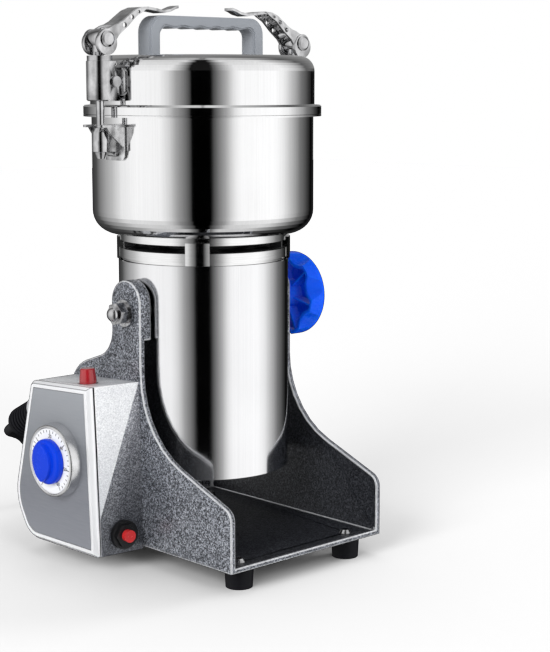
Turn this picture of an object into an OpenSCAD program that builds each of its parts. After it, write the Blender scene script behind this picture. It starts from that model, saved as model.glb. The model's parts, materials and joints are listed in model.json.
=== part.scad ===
// Electric swing grinder for spices: a tilting motor head with a steel bowl, a latched lid,
// a bent sheet cradle and a control box on its left side plate.
// Units are millimetres. The origin lies on the floor under the motor axis. The front is -Y.

/* [Cradle] */
// Width across the outer faces of the two side plates
base_w = 133.6; // [126:0.2:160]
// Thickness of the bent steel sheet
sheet_t = 1.8; // [1.2:0.1:3]
// Reach of the tray in front of the pivot axis
tray_front = 101; // [85:1:130]
// Reach of the tray behind the pivot axis
tray_back = 68; // [60:1:75]
// Height of the side plates at the front of the tray
cheek_front_h = 38.5; // [20:0.5:60]
// Height of the lip along the back of the tray
back_lip_h = 9; // [3:0.5:20]
// Height of the folded rims at the ears, from the outer face
ear_rim_w = 9.2; // [4:0.1:10]
// Height of the folded rims below the ears, from the outer face
low_rim_w = 3.6; // [2:0.1:9]
// Half width of the ears that carry the pivot
ear_half_w = 14.5; // [12:0.5:20]
// Height of the folded hem on the front edge of the tray
hem_h = 3.2; // [2:0.1:8]

/* [Feet] */
// Height of the rubber feet
foot_h = 14; // [8:0.5:25]
// Diameter of the rubber feet
foot_d = 18.5; // [12:0.5:24]
// Distance of the foot centres from the tray's edges
foot_inset = 19; // [14:0.5:28]

/* [Pivot] */
// Height of the pivot axis over the floor
pivot_z = 166; // [160:1:180]
// Radius of the pivot bolt and of the knob's stud
pivot_r = 4; // [3:0.25:6]
// Radial clearance of a running fit
run_gap = 0.05; // [0.02:0.01:0.1]
// Clearance between pieces that pass each other
clear_gap = 0.3; // [0.2:0.05:0.5]
// Largest radius of the blue lock knob
knob_r = 29; // [22:0.5:36]
// Thickness of the knob's rim
knob_t = 14; // [8:0.5:24]
// Number of lobes on the lock knob
knob_lobes = 7; // [5:1:9]

/* [Motor] */
// Outer radius of the polished casing
casing_r = 56.5; // [50:0.5:57]
// Wall of the casing
casing_wall = 1; // [0.8:0.1:2]
// Length of the casing below the pivot axis
casing_below = 108; // [95:1:120]
// Length of the casing above the pivot axis
casing_above = 31; // [27:1:40]
// Height of the vented neck between casing and bowl
neck_h = 17.8; // [15:0.2:30]
// Radius of the motor shaft
shaft_r = 6; // [4:0.5:8]
// Radius of the armature
armature_r = 32; // [24:1:36]

/* [Bowl] */
// Outer radius of the grinding bowl
bowl_r = 73.1; // [70:0.1:80]
// Depth of the bowl from its rim to its underside
bowl_h = 77.4; // [60:0.2:110]
// Wall of the bowl
bowl_wall = 1.5; // [1:0.1:3]
// Radius of the bowl's bottom edge
bowl_edge_r = 15; // [8:0.5:25]
// Width of the rim band outside the bowl's wall
rim_w = 5.2; // [4:0.1:9]
// Reach of the blades from the shaft axis
blade_r = 62; // [40:1:66]

/* [Lid] */
// Height of the lid's rim band
band_h = 5.7; // [4:0.1:10]
// Height of the lid over its rim band
lid_h = 31.8; // [25:0.2:60]
// Radius of the lid's top edge
lid_edge_r = 10; // [5:0.5:12]
// Wall of the lid
lid_wall = 1; // [0.8:0.1:2]
// Length of the handle
handle_l = 98.5; // [80:0.5:110]
// Height of the handle over the lid
handle_h = 25; // [22:0.5:26]
// Thickness of the handle across its bar
handle_t = 13.2; // [8:0.1:16]
// Thickness of the handle's bar
handle_bar = 7; // [5:0.1:9]
// Thickness of the handle's legs
handle_leg = 9; // [6:0.1:14]

/* [Latches] */
// Radius of the latch rods
rod_r = 2.65; // [2:0.05:4]
// Radius of the latch sleeves
sleeve_r = 8.5; // [7:0.1:10]
// Length of the latch sleeves
sleeve_l = 24.7; // [20:0.1:26]
// Radius of the round foot on each rod
latch_foot_r = 5.6; // [5:0.1:6]
// Radius of the cam discs on each lever
cam_r = 7.5; // [6:0.1:9]
// Offset of each cam disc's centre under the lever pin
cam_offset = 2.4; // [1.5:0.1:3]
// Reach of each lever from its pin towards the middle
lever_reach = 61; // [45:1:66]
// Largest outward swing of a latch in degrees
swing_max = 24; // [10:1:24]

/* [Control box] */
// Depth of the control box outward from the side plate
box_d = 36.4; // [30:0.2:50]
// Height of the box's top edge over the floor
box_top = 122.6; // [110:0.2:126]
// Height of the box's underside over the floor
box_low = 13; // [10:0.5:20]
// Thickness of the cover on the outer face
cover_t = 4; // [3:0.1:8]
// Wall of the box
box_wall = 2; // [1.5:0.1:3]
// Width of the bright frame round the panel
frame_w = 4.5; // [3:0.1:8]
// Radius of the dial's bezel
bezel_r = 24.5; // [20:0.5:27]
// Radius of the red cap on top of the box
cap_r = 5.7; // [4.5:0.1:7]
// Height of the dial's bezel
dial_h = 8; // [5:0.5:12]
// Radius of the blue timer knob
timer_r = 14.8; // [12:0.1:19]
// Thickness of the timer knob's disc
timer_t = 5; // [3:0.5:8]
// Travel of the two push buttons
press_travel = 2.5; // [1:0.1:4]

/* [Cord] */
// Diameter of the mains cord
cord_d = 7; // [6:0.1:8]
// Turns of the coil in each of its two layers
coil_turns = 2.5; // [1.5:1:3.5]
// Radius of the coil's outer turn, to the middle of the cord
coil_r = 40.5; // [36:0.5:60]
// Length of the ribbed strain relief
relief_l = 31; // [24:1:48]

/* [Hidden] */
$fn = 96;
far = 400;
eps = 0.01;

// Heights along the motor axis
tray_z = foot_h;
tray_top = tray_z + sheet_t;
casing_bottom = pivot_z - casing_below;
casing_top = pivot_z + casing_above;
bowl_z = casing_top + neck_h;
rim_z = bowl_z + bowl_h;
flange_t = 1.2;
band_z = rim_z + clear_gap;
band_top = band_z + band_h;
lid_top = band_top + lid_h;
handle_top = lid_top + handle_h;
bowl_floor = bowl_z + bowl_wall + 0.5;
rim_r = bowl_r + rim_w;
lid_r = bowl_r + 0.7;

// Places on the cradle
plate_x = base_w / 2;
plate_in = plate_x - sheet_t;
cheek_slope = 21.5;
waist_r = 60;

// Places on the latches, for the side at +X
lug_t = 1.5;
hinge_boss = 2.8;
hinge_x = lid_r + lug_t + hinge_boss + 0.5;
rod_x = max(rim_r + latch_foot_r + 0.5, hinge_x + hinge_boss + clear_gap + rod_r);
latch_gap = 3.1;
sleeve_z = band_top + latch_gap;
sleeve_top = sleeve_z + sleeve_l;
collar_h = 3.2;
collar_top = sleeve_top + collar_h;
lever_z = collar_top + clear_gap + cam_r + cam_offset;
lug_half = 11.7;
hinge_z = sleeve_z + 12;
hinge_r = 1.6;
tongue_half = 3.2;
eye_half = 5.2;
ear_in = eye_half + clear_gap;
ear_out = ear_in + 2.8;
pin_r = 2.5;
fork_z = rim_z - 7.1;
fork_t = 1.5;
fork_half = 10;
fork_x = rod_x + latch_foot_r + 2;
lever_drop = 1.6;
pad_half_h = 8.7;
foot_top = fork_z - clear_gap;
foot_len = 15;
tip_len = 4.5;

// Places on the control box
box_in = plate_x;
box_out = plate_x + box_d;
cover_in = box_out - cover_t;
seam = 0.8;
dial_y = 25.5;
dial_z = 71;
dial_bore = 5;
dial_lip = 3;
face_t = 2.4;
face_sink = 1;
dial_x = box_out - 0.2;
face_x = dial_x + dial_h - face_sink - face_t;
knob_face_x = face_x + face_t + clear_gap;
front_y = -12.3;
upper_turn = 9.5;
upper_lean = 3;
lower_turn = 5.7;
lower_lean = 1.6;
plate_skin = 1;
reset_x = -(box_in + 15);
reset_z = 25;
power_x = -(box_in + 21.5);
power_y = 12.5;
top_slope = 3;

// Route of the cord from the strain relief to the coil, chosen by hand
CORD = [[-85, 98.2, 80.3], [-85, 101.2, 78.8], [-84.1, 108, 75.6], [-81, 115, 72.6], [-76.2, 121.2, 70.2],
    [-70.2, 126.4, 67.9], [-63.4, 130.6, 65], [-56.4, 134.2, 60.8], [-49.8, 137.8, 54.9], [-43.4, 141.6, 47.5],
    [-36.8, 145.6, 39], [-30, 149.4, 30.4], [-22.8, 153, 22.4], [-14.5, 157, 15.2], [-5, 161.5, 10],
    [4.5, 165.5, 6.5], [13, 168.5, 4.5], [21.5, 170.5, 3.5], [30, 170.5, 3.5]];
coil_x = 38;
coil_y = 130;
lead_out = 24;

function unit(v) = v / norm(v);
function sgn(v) = v < 0 ? -1 : 1;
function left_of(a, b) = let (d = unit(b - a)) [-d.y, d.x];
function inset_point(p, q, r, d) = let (m = left_of(p, q), n = left_of(q, r))
    q + d * (m + n) / (1 + m * n);
// Points of one corner, rounded with radius r in steps of about 10 degrees
function corner(p, q, s, r) = r <= 0 ? [q] :
    let (u = unit(p - q), v = unit(s - q), half = acos(u * v) / 2,
        c = q + unit(u + v) * r / sin(half), a = q + u * r / tan(half) - c,
        b = q + v * r / tan(half) - c, a0 = atan2(a.y, a.x), raw = atan2(b.y, b.x) - a0,
        sweep = raw > 180 ? raw - 360 : raw < -180 ? raw + 360 : raw,
        n = max(2, ceil(abs(sweep) / 10)))
    [for (k = [0 : n]) c + r * [cos(a0 + sweep * k / n), sin(a0 + sweep * k / n)]];
function turn_of(p, q, s) = let (a = q - p, b = s - q) sgn(a.x * b.y - a.y * b.x);
// Outline of a counter-clockwise list of [x, y, corner radius], drawn in by d
function outline(pts, d = 0) = let (n = len(pts), flat = [for (p = pts) [p.x, p.y]])
    [for (i = [0 : n - 1]) let (p = flat[(i + n - 1) % n], q = flat[i], s = flat[(i + 1) % n],
        p0 = inset_point(flat[(i + n - 2) % n], p, q, d), q0 = inset_point(p, q, s, d),
        s0 = inset_point(q, s, flat[(i + 2) % n], d),
        r = pts[i].z <= 0 ? 0 : pts[i].z - turn_of(p, q, s) * d)
        each corner(p0, q0, s0, r)];

// Prism whose section lies in the YZ plane, from x0 towards +X
module along_x(x0, t) {
    translate([x0, 0, 0]) rotate([90, 0, 90]) linear_extrude(t) children();
}
// Prism whose section lies in the XZ plane, centred on Y = 0
module along_y(t) {
    rotate([90, 0, 0]) translate([0, 0, -t / 2]) linear_extrude(t) children();
}
module rod_x(x0, x1, r) {
    translate([x0, 0, 0]) rotate([0, 90, 0]) cylinder(h = x1 - x0, r = r);
}
module rod_y(y0, y1, r) {
    translate([0, y0, 0]) rotate([-90, 0, 0]) cylinder(h = y1 - y0, r = r);
}
module tube(r, bore, h) {
    difference() {
        cylinder(h = h, r = r);
        translate([0, 0, -1]) cylinder(h = h + 2, r = bore);
    }
}
module at_pivot() {
    translate([0, 0, pivot_z]) children();
}
module both_sides() {
    children();
    mirror([1, 0, 0]) children();
}

// Cradle
cheek_pts = [[-tray_front, tray_z, 0], [tray_back, tray_z, 0], [tray_back - 2, 60, 20],
    [tray_back - 8.5, pivot_z - 41.5, 26], [ear_half_w, pivot_z - 26.5, 20],
    [ear_half_w, pivot_z + 21, ear_half_w - 0.1],
    [-ear_half_w, pivot_z + 21, ear_half_w - 0.1],
    [-ear_half_w, tray_z + cheek_front_h + (tray_front - ear_half_w) * tan(cheek_slope), waist_r],
    [-tray_front, tray_z + cheek_front_h, 9]];

module cheek() {
    rim_t = sheet_t;
    difference() {
        union() {
            along_x(-plate_x, sheet_t) polygon(outline(cheek_pts));
            // The ears' rims are wide, and the rims below them are narrow
            intersection() {
                along_x(-plate_x, ear_rim_w) rim_ring(rim_t);
                translate([-far, -far, pivot_z - 17]) cube(2 * far);
            }
            intersection() {
                along_x(-plate_x, low_rim_w) rim_ring(rim_t);
                translate([-far, -far, tray_z + eps]) cube([2 * far, 2 * far, pivot_z]);
            }
        }
        at_pivot() rod_x(-far, 0, pivot_r + run_gap);
    }
}
// Section of the lip along the tray's back, which leans as the side plates' back edges do
back_lip_lean = 2 * back_lip_h / (60 - tray_z);
back_lip_pts = [[tray_back - sheet_t, tray_z], [tray_back, tray_z],
    [tray_back - back_lip_lean, tray_z + back_lip_h], [tray_back - sheet_t - back_lip_lean, tray_z + back_lip_h]];
module rim_ring(t) {
    difference() {
        polygon(outline(cheek_pts));
        polygon(outline(cheek_pts, t));
    }
}
module cradle() {
    color("slategray") {
        difference() {
            both_sides() cheek();
            screw_places() rod_x(-1, 6, screw_r + 0.1);
        }
        difference() {
            union() {
                translate([-plate_x + eps, -tray_front, tray_z])
                    cube([base_w - 2 * eps, tray_front + tray_back, sheet_t]);
                translate([-plate_x + eps, -tray_front, tray_z])
                    cube([base_w - 2 * eps, 2 * sheet_t, hem_h]);
                along_x(-plate_x + eps, base_w - 2 * eps) polygon(back_lip_pts);
            }
            foot_places() translate([0, 0, tray_z - 1]) cylinder(h = sheet_t + 2, r = 2.2);
        }
    }
}
module foot_places() {
    for (x = [-1, 1], y = [-tray_front + foot_inset - 5, tray_back - foot_inset])
        translate([x * (plate_x - foot_inset), y, 0]) children();
}
module feet() {
    color("black") foot_places() difference() {
        union() {
            cylinder(h = foot_h, r1 = foot_d / 2 - 0.8, r2 = foot_d / 2);
            translate([0, 0, 0]) cylinder(h = 0.6, r = foot_d / 2 - 1.6);
        }
        translate([0, 0, foot_h - 9]) cylinder(h = 10, r = 2);
        translate([0, 0, -1]) cylinder(h = 3, r = foot_d / 2 - 4);
    }
}
module foot_screws() {
    color("silver") foot_places() translate([0, 0, foot_h - 8]) {
        cylinder(h = 8 + sheet_t, r = 2);
        translate([0, 0, 8 + sheet_t]) difference() {
            cylinder(h = 2.2, r1 = 4, r2 = 2.6);
            for (a = [0, 90]) rotate(a) translate([-2, -0.4, 1.2]) cube([4, 0.8, 2]);
        }
    }
}

// Control box
function top_at(y) = box_top - (y - front_y) * tan(top_slope);
box_pts = [[-40, box_low, 0], [62, box_low - 1, 18], [77.5, 38, 30],
    [56, top_at(56), 5], [-40, top_at(-40), 0]];
module front_cut(turn, lean, depth = 0) {
    translate([-box_in, front_y, box_top]) rotate([-lean, 0, -turn])
        translate([-far / 2, -100 + depth, -far / 2]) cube([far, 100, far]);
}
// Solid of the box between two distances from the middle, drawn in by d
module box_solid(x0, x1, d = 0, skin = 0) {
    difference() {
        along_x(-x1, x1 - x0) polygon(outline(box_pts, d));
        front_cut(upper_turn, upper_lean, d);
        front_cut(lower_turn, lower_lean, max(d, skin));
    }
}
module at_dial() {
    translate([0, dial_y, dial_z]) children();
}
relief_r = 9.9;
boss_l = 24;
relief_dir = unit(CORD[1] - CORD[0]);
relief_tilt = atan2(-relief_dir.z, relief_dir.y);
// Frame with its +Z along the strain relief's axis and its origin at the relief's outer end
module at_relief() {
    translate(CORD[0]) rotate([-90 - relief_tilt, 0, 0]) children();
}
module at_power() {
    translate([power_x, power_y, top_at(power_y)])
        rotate([-top_slope, 0, 0]) children();
}
module at_reset() {
    translate([-box_in, front_y, box_top]) rotate([-lower_lean, 0, -lower_turn])
        translate([reset_x + box_in, 0, reset_z - box_top]) rotate([90, 0, 0]) children();
}
module box_housing() {
    color("lightgray") difference() {
        union() {
            box_solid(box_in, cover_in - seam, 0, plate_skin);
            // Raised tongue that centres the cover
            box_solid(cover_in - seam - eps, cover_in, box_wall / 2, box_wall / 2 + plate_skin);
            at_relief() translate([0, 0, -relief_l - boss_l]) cylinder(h = boss_l, r = relief_r + 1.4);
        }
        box_solid(box_in + box_wall, box_out, box_wall, box_wall + plate_skin);
        at_relief() translate([0, 0, -relief_l - 30]) cylinder(h = 31, r = 5);
        at_power() translate([0, 0, -8]) cylinder(h = 10, r = cap_r + 0.7);
        at_reset() translate([0, 0, -8]) cylinder(h = 10, r = 6);
        screw_places() rod_x(-box_wall - 1, 1, screw_r + 0.1);
    }
}
module breaker_plate() {
    color("dimgray") difference() {
        box_solid(box_in, cover_in - seam, 0, 0);
        translate([0, plate_skin, 0]) difference() {
            translate([-far, -far / 2, -far / 2]) cube([far, far, far]);
            translate([0, -plate_skin, 0]) front_cut(lower_turn, lower_lean, plate_skin);
        }
        at_reset() translate([0, 0, -8]) cylinder(h = 10, r = 6);
    }
}
module box_cover() {
    color("whitesmoke") difference() {
        hull() {
            box_solid(cover_in, box_out - 2, 0, 0);
            box_solid(cover_in, box_out, 1.6, 1.6);
        }
        box_solid(box_out - 0.8, box_out + 1, frame_w, frame_w);
        box_solid(cover_in - 1, box_out - 2, box_wall / 2 - 0.1, box_wall / 2);
        at_dial() rod_x(-box_out - 1, -cover_in + 1, dial_bore);
    }
}
module control_panel() {
    color("darkgray") difference() {
        box_solid(box_out - 0.8, box_out - 0.2, frame_w + 0.1, frame_w + 0.1);
        at_dial() rod_x(-box_out - 1, -cover_in + 1, dial_bore);
    }
}
screw_r = 1.9;
module screw_places() {
    for (p = [[58, 32], [42, 100], [8, 60]]) translate([-box_in, p.x, p.y]) children();
}
// Screws that hold the box to the side plate, with their heads inside the cradle
module box_screws() {
    color("silver") screw_places() {
        rod_x(-box_wall - 3, sheet_t + 1, screw_r);
        rod_x(sheet_t, sheet_t + 1.8, 3.4);
        rod_x(-box_wall - 2.6, -box_wall, 3.6);
    }
}
module dial_bezel() {
    edge = 1.8;
    lip_r = bezel_r - dial_lip;
    seat = face_x - dial_x;
    color("silver") at_dial() translate([-dial_x, 0, 0]) rotate([0, -90, 0]) rotate_extrude() polygon(
        concat([[dial_bore, 0], [bezel_r, 0], [bezel_r, 1.5]],
        [for (a = [0 : 15 : 90]) [bezel_r - 0.8 - edge + edge * cos(a), dial_h - edge + edge * sin(a)]],
        [[lip_r, dial_h - 0.3], [lip_r, seat], [dial_bore, seat]]));
}
module dial_face() {
    color("white") at_dial() difference() {
        rod_x(-face_x - face_t, -face_x, bezel_r - dial_lip - 0.1);
        rod_x(-far, 0, dial_bore - 0.5);
    }
}
module timer_knob() {
    edge = 2.6;
    ridge_h = 2.6;
    half = timer_r * 0.6;
    tip = timer_r * 0.85;
    grip = (half * half + tip * tip) / (2 * half);
    color("royalblue") at_dial() {
        translate([-knob_face_x, 0, 0]) rotate([0, -90, 0]) rotate_extrude() polygon(concat([[0, 0], [timer_r, 0]],
            [for (a = [0 : 15 : 90]) [timer_r - edge + edge * cos(a), timer_t - edge + edge * sin(a)]],
            [[0, timer_t + 0.3]]));
        // Lens shaped grip between two arcs
        translate([-knob_face_x - timer_t - ridge_h, 0, 0]) rotate([90, 0, 90]) linear_extrude(ridge_h + 1)
            intersection() {
                translate([grip - half, 0]) circle(r = grip);
                translate([half - grip, 0]) circle(r = grip);
            }
        rod_x(-knob_face_x - eps, -cover_in + 8, 3);
    }
}
module timer_case() {
    color("dimgray") at_dial() difference() {
        union() {
            rod_x(-cover_in + 3, -cover_in + 21, 19);
            rod_x(-box_out + 2, -cover_in + 3 + eps, 4.4);
        }
        rod_x(-far, -cover_in + 8 + clear_gap, 3 + run_gap);
    }
}
module breaker_body() {
    color("#202020") at_reset() difference() {
        union() {
            translate([0, 0, -24]) cylinder(h = 24 - box_wall - plate_skin - clear_gap, r = 8);
            translate([0, 0, -5]) cylinder(h = 10, r = 5.8);
        }
        translate([0, 0, -4]) cylinder(h = 12, r = 4 + run_gap);
    }
}
module breaker_collar() {
    color("#181818") at_reset() {
        difference() {
            union() {
                cylinder(h = 3, r = 9.4);
                translate([0, 0, 3 - eps]) cylinder(h = 2.2, r = 8, $fn = 6);
            }
            translate([0, 0, -1]) cylinder(h = 9, r = 5.82);
        }
    }
}
module reset_button() {
    color("red") at_reset() {
        translate([0, 0, -4 + press_travel + clear_gap]) cylinder(h = 12.5 - press_travel, r = 4);
    }
}
switch_h = 20;
module switch_body() {
    color("#202020") at_power() difference() {
        union() {
            translate([0, 0, -switch_h]) cylinder(h = switch_h - box_wall - 0.05, r = cap_r + 3.3);
            translate([0, 0, -box_wall - 1]) cylinder(h = box_wall + 0.9, r = cap_r + 0.6);
        }
        translate([0, 0, -8]) cylinder(h = 12, r = cap_r + run_gap);
    }
}
module power_button() {
    foot = press_travel + clear_gap;
    color("crimson") at_power() {
        translate([0, 0, -8 + foot]) cylinder(h = 9.5 - foot, r = cap_r);
        translate([0, 0, 1.5 - eps]) cylinder(h = 7.5, r1 = cap_r, r2 = cap_r - 0.9);
        translate([0, 0, 9 - 2 * eps]) cylinder(h = 0.6, r1 = cap_r - 0.9, r2 = cap_r - 1.5);
    }
}

// Cord, coil, plug and strain relief
module strain_relief() {
    ribs = 6;
    r = relief_r;
    tip = 8;
    tip_r = 4.8;
    pitch = (relief_l - tip - 3) / ribs;
    color("#181818") at_relief() {
        translate([0, 0, -relief_l]) rotate_extrude() polygon(concat([[0, 0], [r + 0.6, 0], [r + 0.6, 2.5]],
            [for (k = [0 : ribs - 1]) let (z = 3 + k * pitch)
                each [[r - 1.8, z], [r - 1.8, z + pitch * 0.22], [r, z + pitch * 0.34],
                    [r, z + pitch * 0.88], [r - 1.8, z + pitch]]],
            [for (a = [0 : 15 : 75]) [tip_r + (r - tip_r) * cos(a), relief_l - tip + 1 + (tip - 1) * sin(a)]],
            [[tip_r, relief_l], [0, relief_l]]));
        translate([0, 0, -relief_l - 9]) cylinder(h = 9, r = 4.95);
    }
}
// Ring of m points round p, square to t
function ring(p, t, r, m) = let (u = unit(cross(t, [0.2, 0.3, 1])), v = cross(t, u))
    [for (k = [0 : m - 1]) p + r * (u * cos(360 * k / m) + v * sin(360 * k / m))];
function tangent(q, i) = unit(i == 0 ? q[1] - q[0] : i == len(q) - 1 ? q[i] - q[i - 1]
    : unit(q[i + 1] - q[i]) + unit(q[i] - q[i - 1]));
// One closed tube through the points q
module sweep(q, r, m) {
    n = len(q);
    pts = [for (i = [0 : n - 1]) each ring(q[i], tangent(q, i), r, m)];
    sides = [for (i = [0 : n - 2], k = [0 : m - 1]) let (a = i * m + k, b = i * m + (k + 1) % m)
        each [[a, b, b + m], [a, b + m, a + m]]];
    ends = [for (k = [1 : m - 2]) each [[0, k + 1, k], [(n - 1) * m, (n - 1) * m + k,
        (n - 1) * m + k + 1]]];
    polyhedron(points = pts, faces = concat(sides, ends));
}
module cord() {
    color("#181818") sweep(CORD, cord_d / 2, 10);
}
coil_pitch = cord_d + 1.6;
coil_rise = cord_d + 0.8;
coil_steps = 24;
coil_low = cord_d / 2;
layer = coil_steps * coil_turns;
half_turn = coil_steps / 2;
// Middle of the cord at step i: in along the floor, up over half a turn, and out again
function coil_point(i) = let (s = i <= layer ? i : i <= layer + half_turn ? layer
        : 2 * layer + half_turn - i,
    lift = i <= layer ? 0 : i >= layer + half_turn ? 1 : (i - layer) / half_turn,
    r = coil_r - coil_pitch * s / coil_steps, a = 90 - 360 * i / coil_steps)
    [coil_x + r * cos(a), coil_y + r * sin(a), coil_low + coil_rise * lift];
COIL = let (n = 2 * layer + half_turn, first = coil_point(0), last = coil_point(n))
    concat([[CORD[len(CORD) - 1].x, first.y, coil_low]],
        [for (i = [0 : n]) coil_point(i)], [last - [cord_d, 0, 0], last - [lead_out, 0, 0]]);
coil_gap = min([for (i = [1 : len(COIL) - 3], j = [i + 12 : 1 : len(COIL) - 2])
    norm(COIL[i] - COIL[j])]) - cord_d;
echo(coil_gap = coil_gap);
module cord_coil() {
    color("#181818") sweep(COIL, cord_d / 2, 6);
}
plug_end = COIL[len(COIL) - 1];
module plug() {
    l = 40;
    color("#181818") translate(plug_end) {
        translate([-10, 0, 0]) rotate([0, 90, 0]) cylinder(h = 10, r1 = 6.5, r2 = 4.6);
        hull() {
            for (y = [-6.5, 6.5]) translate([-l, y, 0]) {
                rod_x(10, l - 8, 5, $fn = 32);
                rod_x(0, 3, 9, $fn = 32);
            }
        }
    }
}
module plug_pins() {
    color("goldenrod") translate(plug_end - [40, 0, 0]) {
        for (y = [-6.35, 6.35]) translate([-17, y - 0.75, -1]) cube([17, 1.5, 6.3]);
        translate([0, 0, -6]) rod_x(-19, 0, 2.4);
    }
}

// Head: motor casing and motor
module motor_casing() {
    color("silver") difference() {
        translate([0, 0, casing_bottom]) tube(casing_r, casing_r - casing_wall, casing_top - casing_bottom);
        at_pivot() rod_x(-far, far, pivot_r + run_gap);
    }
}
vent_r = casing_r - casing_wall - 0.1;
hub_r = 16;
module bottom_cover() {
    color("#202020") translate([0, 0, casing_bottom]) difference() {
        union() {
            translate([0, 0, 1]) cylinder(h = 6, r = vent_r);
            cylinder(h = 1 + eps, r = vent_r - 1);
            translate([0, 0, 7 - eps]) cylinder(h = 17, r = hub_r + 4);
        }
        translate([0, 0, 14]) cylinder(h = 11, r = hub_r + 0.02);
        translate([0, 0, 10]) cylinder(h = 9, r = shaft_r + 3);
        for (a = [0 : 15 : 345]) rotate(a) translate([28, -1.5, -1]) cube([20, 3, 9]);
    }
}
winding_h = 6;
pad_r = 11;
stator_rise = 38;
fan_rise = 26;
comm_rise = 7;
comm_l = 14;
stator_z = casing_bottom + stator_rise;
stator_l = pivot_z - pad_r - 3 - winding_h - stator_z;
module stator() {
    color("gray") translate([0, 0, stator_z]) {
        difference() {
            cylinder(h = stator_l, r = vent_r);
            translate([0, 0, -1]) cylinder(h = stator_l + 2, r = armature_r + 0.7);
            for (a = [45 : 90 : 315]) rotate(a) translate([armature_r + 10, 0, -1])
                cylinder(h = stator_l + 2, r = 7);
        }
    }
    // Field windings show past both ends of the stack
    color("chocolate") for (z = [stator_z - winding_h, stator_z + stator_l]) translate([0, 0, z])
        tube(armature_r + 12, armature_r + 3, winding_h);
}
comm_z = stator_z + stator_l + comm_rise;
comm_r = 14;
module brush_gear() {
    color("#8a6d3b") for (s = [0, 180]) rotate(s) translate([0, 0, comm_z + 4]) {
        translate([-5, comm_r + 4, -4]) cube([10, vent_r - comm_r - 4 - 2, 8]);
        translate([-3.5, comm_r + 0.3, -3]) cube([7, 4, 6]);
    }
}
module bearings() {
    color("silver") {
        translate([0, 0, casing_bottom + 14]) tube(hub_r, shaft_r + run_gap, 10);
        translate([0, 0, casing_top + 1]) tube(hub_r, shaft_r + run_gap, 10);
    }
}
ring_z = casing_top + 2;
ring_h = 6;
top_disc = 4.8;
post_w = 15.5;
post_face_r = 27;
module neck_frame() {
    color("silver") difference() {
        union() {
            translate([0, 0, casing_top - 6]) cylinder(h = 8 + eps, r = vent_r - 1);
            translate([0, 0, ring_z]) cylinder(h = ring_h, r = casing_r - 0.4);
            translate([0, 0, casing_top - 6]) cylinder(h = neck_h + 6, r = 27);
            translate([0, 0, bowl_z - top_disc]) cylinder(h = top_disc, r = casing_r - 1);
            for (a = [45 : 90 : 315]) rotate(a)
                intersection() {
                    translate([casing_r - 12, -post_w / 2, casing_top + 0.4])
                        cube([20, post_w, neck_h - 3.4]);
                    translate([casing_r + 1.2 - post_face_r, 0, 0]) cylinder(h = far, r = post_face_r);
                }
        }
        translate([0, 0, casing_top + 1]) cylinder(h = far, r = hub_r + 0.02);
        translate([0, 0, casing_top - 10]) cylinder(h = far, r = shaft_r + 3);
        // Air holes under the vented gap
        for (a = [22.5 : 45 : 337.5]) rotate(a) translate([40, 0, casing_top - 7])
            cylinder(h = 9 + ring_h, r = 8);
    }
}
module pivot_bosses() {
    color("gray") at_pivot() both_sides() difference() {
        union() {
            intersection() {
                rod_x(-plate_in + clear_gap, -casing_r + 4, 10);
                difference() {
                    translate([-far, -far, -far]) cube([far, 2 * far, 2 * far]);
                    translate([0, 0, -far / 2]) cylinder(h = far, r = casing_r);
                }
            }
            // Plate inside the casing that takes the bolt
            intersection() {
                rod_x(-casing_r, -casing_r + 9, pad_r);
                translate([0, 0, -far / 2]) cylinder(h = far, r = vent_r);
            }
        }
        rod_x(-far, 0, pivot_r + eps);
    }
}
washer_t = 1.6;
nut_t = 5.6;
bolt_end = plate_x + 10.8;
knob_x = plate_x + clear_gap;
knob_hub = 6.4;
knob_bore = knob_hub + knob_t - 2;
knob_boss = 10;
knob_groove = 3.6;
module pivot_bolt() {
    color("silver") at_pivot() rod_x(-bolt_end, -casing_r + 9, pivot_r);
}
module pivot_washers() {
    color("silver") at_pivot() translate([-plate_x - clear_gap, 0, 0]) {
        difference() {
            union() {
                rod_x(-washer_t, 0, 8.8);
                rod_x(-washer_t - 1.4, -washer_t + eps, 7);
            }
            rod_x(-9, 1, pivot_r + eps);
        }
    }
}
module hex_x(x0, x1, flats) {
    translate([x0, 0, 0]) rotate([0, 90, 0]) rotate(15) cylinder(h = x1 - x0, r = flats / sqrt(3), $fn = 6);
}
nut_x = plate_x + clear_gap + washer_t + 1.4;
module pivot_nut() {
    color("silver") at_pivot() difference() {
        hex_x(-nut_x - nut_t, -nut_x, 13);
        rod_x(-far, 0, pivot_r + eps);
    }
}
module pivot_cap_nut() {
    x = nut_x + nut_t;
    color("silver") at_pivot() difference() {
        union() {
            rod_x(-x - 1.2, -x, 5);
            translate([-x - 1.2, 0, 0]) rotate([0, -90, 0]) rotate_extrude() polygon(concat([[0, 0]],
                [for (a = [0 : 10 : 90]) [4.6 * cos(a), 3.6 * sin(a)]]));
        }
        rod_x(-bolt_end - eps, 0, pivot_r + eps);
    }
}
module lock_stud() {
    color("silver") at_pivot() rod_x(casing_r - 9, knob_x + knob_bore - clear_gap, pivot_r);
}
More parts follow.
